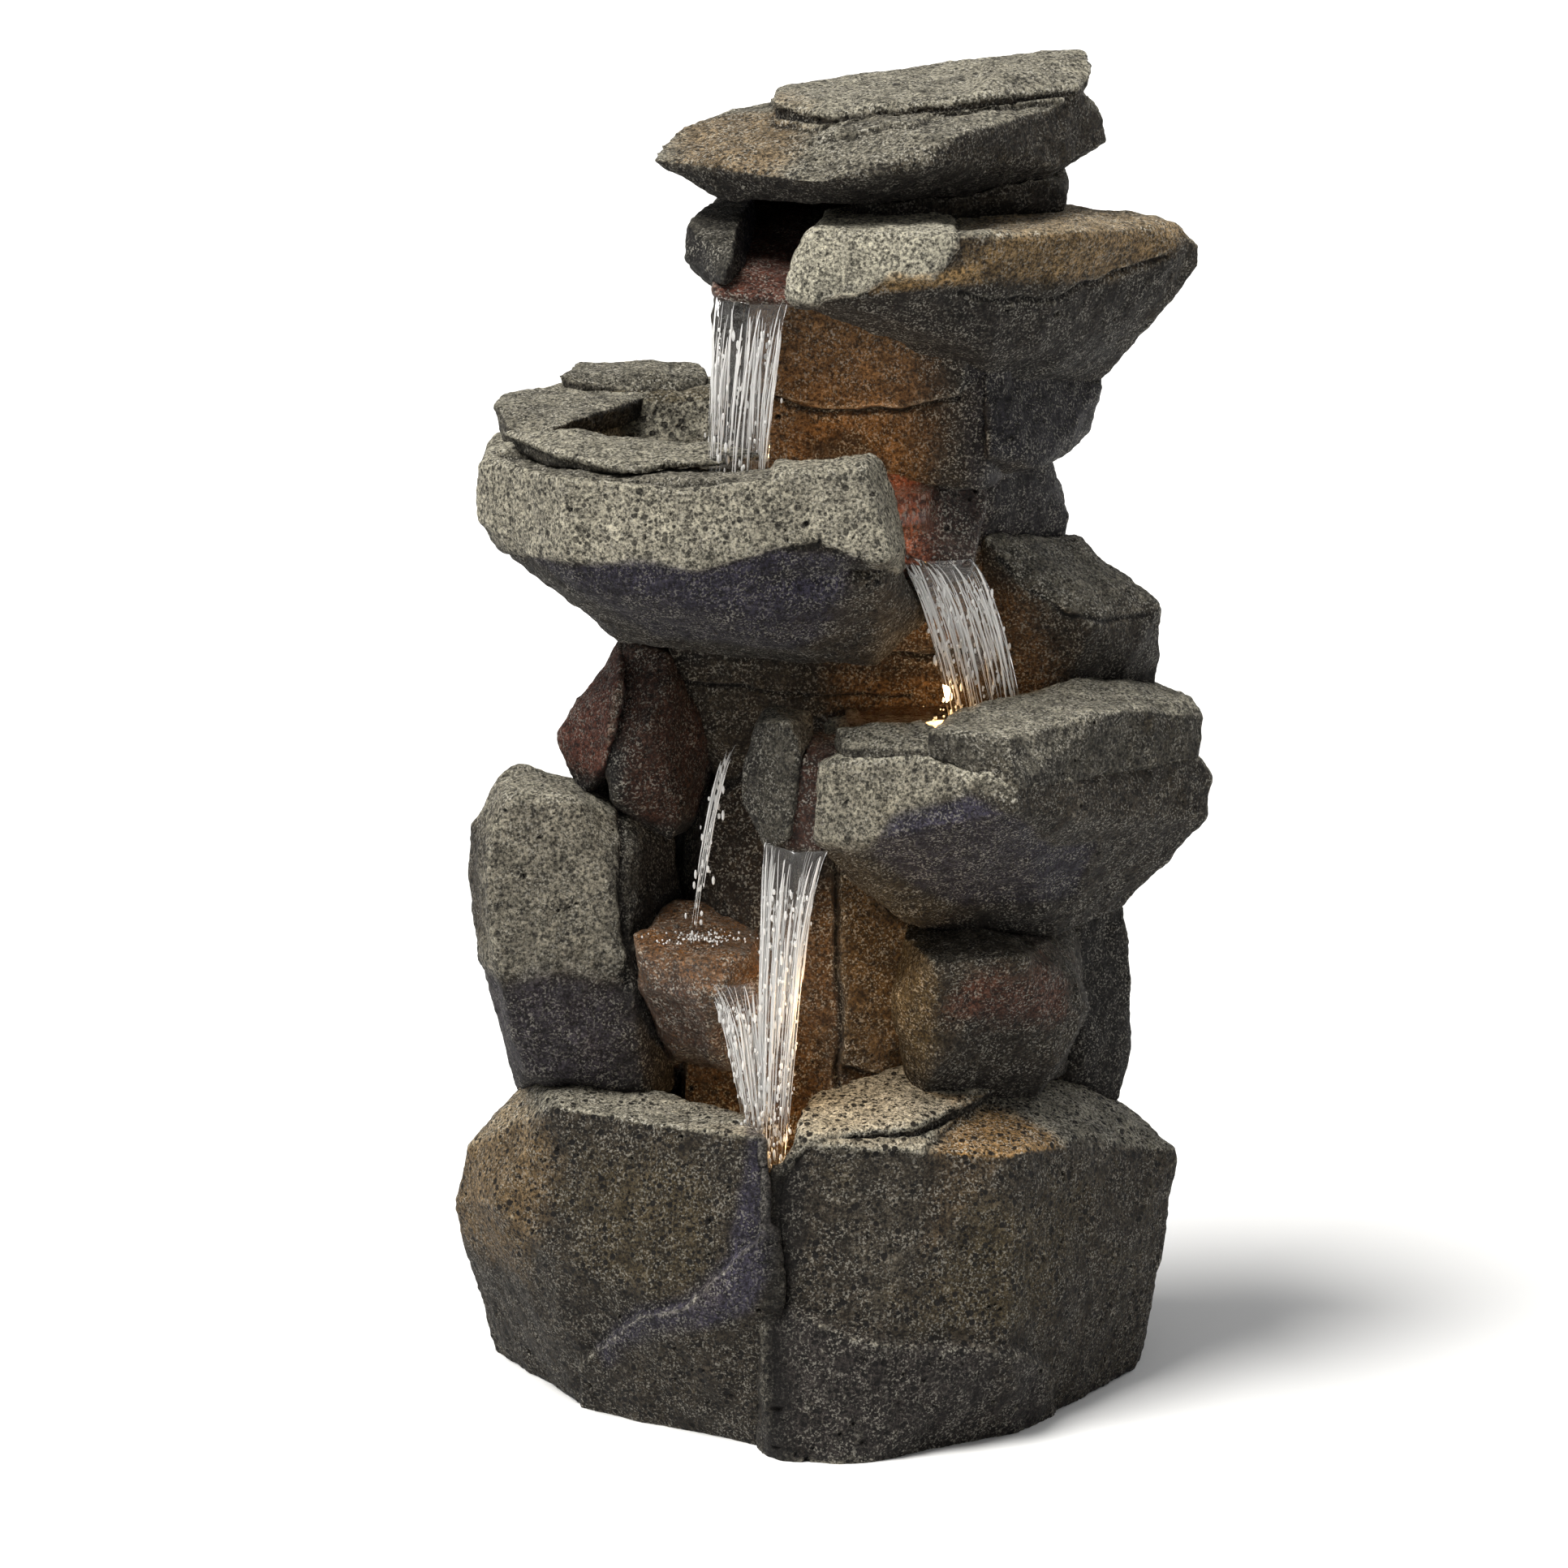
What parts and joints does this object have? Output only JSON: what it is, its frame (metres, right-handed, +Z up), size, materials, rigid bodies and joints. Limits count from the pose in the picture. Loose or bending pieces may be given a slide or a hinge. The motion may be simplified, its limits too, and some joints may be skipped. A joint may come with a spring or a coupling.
{
  "type": "water fountain",
  "caption": "Free-standing cascading rock fountain of hollow cast stones, with stepped bowls, spouts, a hidden tub, pump, riser hose, warm lights and a rear service door",
  "frame": {"origin": "on the ground, below the middle of the bounding box", "axes": "+X to the viewer's right seen from the front, +Y towards the back, +Z up"},
  "size_m": [0.564, 0.442, 1],
  "materials": {
    "cast_stone": "pitted cast stone, brown-grey, dry-brushed",
    "cast_stone_grey": "pitted cast stone, grey with pale tops",
    "cast_stone_red": "cast stone stained rust red",
    "cast_stone_ochre": "cast stone stained ochre, wet",
    "tub_plastic": "black moulded, satin",
    "rubber_black": "moulded, matt",
    "knob_plastic": "black moulded, matt",
    "pump_plastic": "black moulded, satin",
    "rotor_plastic": "white moulded over a magnet",
    "steel": "stainless, brushed",
    "dial_plastic": "grey moulded",
    "clear_vinyl": "milky clear vinyl",
    "light_board": "white board with warm diodes",
    "light_lens": "clear, warm",
    "lead_jacket": "black jacket, satin"
  },
  "bodies": {
    "stonework": {"water_tub": "tub_plastic", "tub_feet": "rubber_black", "boulder_front_left": "cast_stone_grey", "boulder_front_right": "cast_stone_grey", "boulder_rear_left": "cast_stone", "boulder_rear_right": "cast_stone", "column_lower": "cast_stone_ochre", "column_middle": "cast_stone", "column_upper": "cast_stone_ochre", "boulder_left_tall": "cast_stone_grey", "boulder_right_red": "cast_stone_red", "boulder_right_rear": "cast_stone", "cascade_ledge": "cast_stone_ochre", "shard_left": "cast_stone_red", "shard_large": "cast_stone_red", "middle_bowl": "cast_stone_grey", "middle_lip": "cast_stone_red", "finger_stone": "cast_stone", "middle_rim_slab": "cast_stone", "middle_rim_stone": "cast_stone", "bulge_stone": "cast_stone", "upper_bowl": "cast_stone_grey", "upper_chute": "cast_stone_red", "upper_slab_front": "cast_stone", "upper_slab_left": "cast_stone", "upper_slab_back": "cast_stone", "shoulder_stone": "cast_stone", "spout_tray": "cast_stone_red", "spout_cheek": "cast_stone", "ledge_stone": "cast_stone", "neck_stone": "cast_stone", "cap_stone": "cast_stone_grey", "door_gasket": "rubber_black", "pump_housing": "pump_plastic", "pump_volute": "pump_plastic", "pump_shaft": "steel", "pump_shaft_bushes": "rubber_black", "pump_suction_cups": "rubber_black", "riser_hose": "clear_vinyl", "hose_clamps": "steel", "top_outlet": "pump_plastic", "light_housings": "pump_plastic", "light_boards": "light_board", "light_lenses": "light_lens", "light_seals": "rubber_black", "splice_box": "pump_plastic", "splice_lid": "pump_plastic", "splice_screws": "steel", "pump_lead": "lead_jacket", "light_lead_upper": "lead_jacket", "light_lead_middle": "lead_jacket", "light_lead_base": "lead_jacket"},
    "door": {"service_door": "cast_stone_grey", "cord_outlet": "rubber_black"},
    "knob_left": {"door_screw_left": "knob_plastic"},
    "knob_right": {"door_screw_right": "knob_plastic"},
    "rotor": {"pump_rotor": "rotor_plastic"},
    "intake_cover": {"pump_intake_cover": "pump_plastic"},
    "flow_dial": {"pump_flow_dial": "dial_plastic"}
  },
  "joints": [
    {"name": "door_slide", "type": "slide", "parent": "stonework", "child": "door", "axis": [0, 1, 0], "range_m": [0, 0.15]},
    {"name": "knob_left_turn", "type": "hinge", "parent": "door", "child": "knob_left", "pos_m": [-0.046, 0.14, 0.27], "axis": [0, 1, 0], "range_deg": [0, 90]},
    {"name": "knob_right_turn", "type": "hinge", "parent": "door", "child": "knob_right", "pos_m": [0.046, 0.14, 0.27], "axis": [0, 1, 0], "range_deg": [0, 90]},
    {"name": "rotor_spin", "type": "hinge", "parent": "stonework", "child": "rotor", "pos_m": [0, 0.037, 0.047], "axis": [0, 1, 0], "continuous": true},
    {"name": "intake_cover_slide", "type": "slide", "parent": "stonework", "child": "intake_cover", "axis": [0, 1, 0], "range_m": [0, 0.014]},
    {"name": "flow_dial_turn", "type": "hinge", "parent": "intake_cover", "child": "flow_dial", "pos_m": [0, 0.088, 0.047], "axis": [0, 1, 0], "range_deg": [0, 90]}
  ]
}
